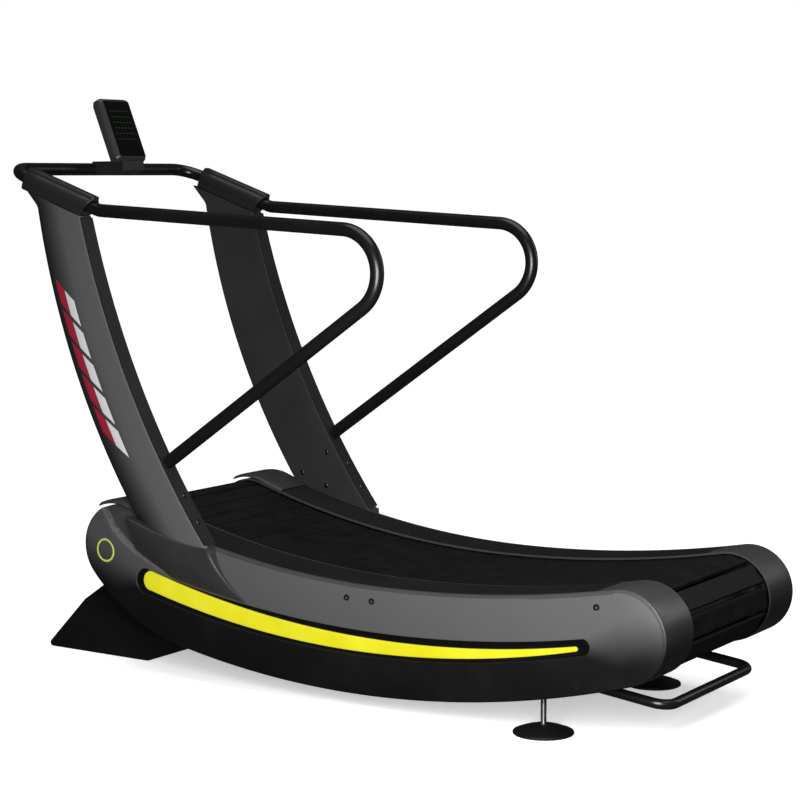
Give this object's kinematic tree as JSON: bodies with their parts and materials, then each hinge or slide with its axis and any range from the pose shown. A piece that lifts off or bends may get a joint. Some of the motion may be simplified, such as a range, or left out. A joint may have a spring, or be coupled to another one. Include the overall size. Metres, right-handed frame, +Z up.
{
  "type": "curved manual treadmill",
  "caption": "curved slat treadmill without a motor, with bent tube handrails, a crossbar with a console, a sloping front stand, screw feet and a lifting handle",
  "frame": {"origin": "on the floor, below the middle of the machine's bounding box", "axes": "+X points to the machine's rear, so that the user faces -X; +Y to the user's right; +Z up"},
  "size_m": [2.1889, 0.8826, 1.6787],
  "materials": {
    "frame_steel": "satin black powder coat",
    "axle_steel": "turned steel",
    "belt_rubber": "moulded rubber belt",
    "bearing_steel": "ground bearing steel",
    "slat_rubber": "vulcanised rubber over a slat, fine texture",
    "cover_shell": "satin moulded ABS, dark grey",
    "strip_plastic": "grained ABS, dark grey",
    "trim_plastic": "grained ABS, black",
    "tray_plastic": "black ABS",
    "light_plastic": "fluorescent yellow diffuser",
    "upright_shell": "satin black moulded ABS",
    "tube_steel": "satin black powder coat on steel tube",
    "clamp_plastic": "black moulded nylon",
    "ring_plastic": "yellow-green moulded ring",
    "console_plastic": "black ABS",
    "lens_glass": "dark tinted lens",
    "bolt_steel": "zinc-plated steel",
    "drum_metal": "turned aluminium",
    "foot_rubber": "moulded rubber pad",
    "wheel_plastic": "moulded polyurethane"
  },
  "bodies": {
    "base": {"left_side_rail": "frame_steel", "right_side_rail": "frame_steel", "front_cross_tube": "frame_steel", "middle_cross_tube": "frame_steel", "rear_cross_tube": "frame_steel", "front_stand": "frame_steel", "front_axle": "axle_steel", "rear_axle": "axle_steel", "left_drive_belt": "belt_rubber", "left_guide_rollers": "bearing_steel", "right_drive_belt": "belt_rubber", "right_guide_rollers": "bearing_steel", "running_slats": "slat_rubber", "return_slats": "slat_rubber", "left_side_cover": "cover_shell", "left_foot_strip": "strip_plastic", "left_front_hood": "trim_plastic", "left_light_tray": "tray_plastic", "left_light_strip": "light_plastic", "left_upright": "frame_steel", "left_upright_cover": "upright_shell", "left_rear_strip": "frame_steel", "left_upright_bracket": "frame_steel", "left_boot": "trim_plastic", "left_handrail": "tube_steel", "left_handrail_clamp": "clamp_plastic", "left_foot_bracket": "frame_steel", "right_side_cover": "cover_shell", "right_foot_strip": "strip_plastic", "right_front_hood": "trim_plastic", "right_light_tray": "tray_plastic", "right_light_strip": "light_plastic", "right_upright": "frame_steel", "right_upright_cover": "upright_shell", "right_rear_strip": "frame_steel", "right_upright_bracket": "frame_steel", "right_boot": "trim_plastic", "right_handrail": "tube_steel", "right_handrail_clamp": "clamp_plastic", "right_foot_bracket": "frame_steel", "nose_rings": "ring_plastic", "crossbar": "tube_steel", "console_case": "console_plastic", "console_lens": "lens_glass", "console_bracket": "clamp_plastic", "lifting_handle": "tube_steel", "wheel_brackets": "frame_steel", "upright_bolts": "bolt_steel", "cover_standoffs": "frame_steel", "cover_screws": "bolt_steel"},
    "front_drum_assembly": {"front_drum": "drum_metal", "front_drum_bearings": "bearing_steel"},
    "rear_drum_assembly": {"rear_drum": "drum_metal", "rear_drum_bearings": "bearing_steel"},
    "left_foot": {"left_foot_stud": "bolt_steel", "left_foot_pad": "foot_rubber"},
    "left_wheel": {"left_transport_wheel": "wheel_plastic"},
    "right_foot": {"right_foot_stud": "bolt_steel", "right_foot_pad": "foot_rubber"},
    "right_wheel": {"right_transport_wheel": "wheel_plastic"}
  },
  "joints": [
    {"name": "front_drum_spin", "type": "hinge", "parent": "base", "child": "front_drum_assembly", "pos_m": [-0.6675, 0, 0.36926], "axis": [0, 1, 0], "continuous": true},
    {"name": "rear_drum_spin", "type": "hinge", "parent": "base", "child": "rear_drum_assembly", "pos_m": [0.9715, 0, 0.29607], "axis": [0, 1, 0], "continuous": true},
    {"name": "left_foot_height", "type": "slide", "parent": "base", "child": "left_foot", "axis": [0, 0, -1], "range_m": [0, 0.02]},
    {"name": "left_wheel_spin", "type": "hinge", "parent": "base", "child": "left_wheel", "pos_m": [-1.07, -0.13, 0.028], "axis": [0, 1, 0], "continuous": true},
    {"name": "right_foot_height", "type": "slide", "parent": "base", "child": "right_foot", "axis": [0, 0, -1], "range_m": [0, 0.02]},
    {"name": "right_wheel_spin", "type": "hinge", "parent": "base", "child": "right_wheel", "pos_m": [-1.07, 0.13, 0.028], "axis": [0, 1, 0], "continuous": true}
  ],
  "couplings": [
    {"joint": "rear_drum_spin", "follows": "front_drum_spin", "ratio": 1}
  ]
}
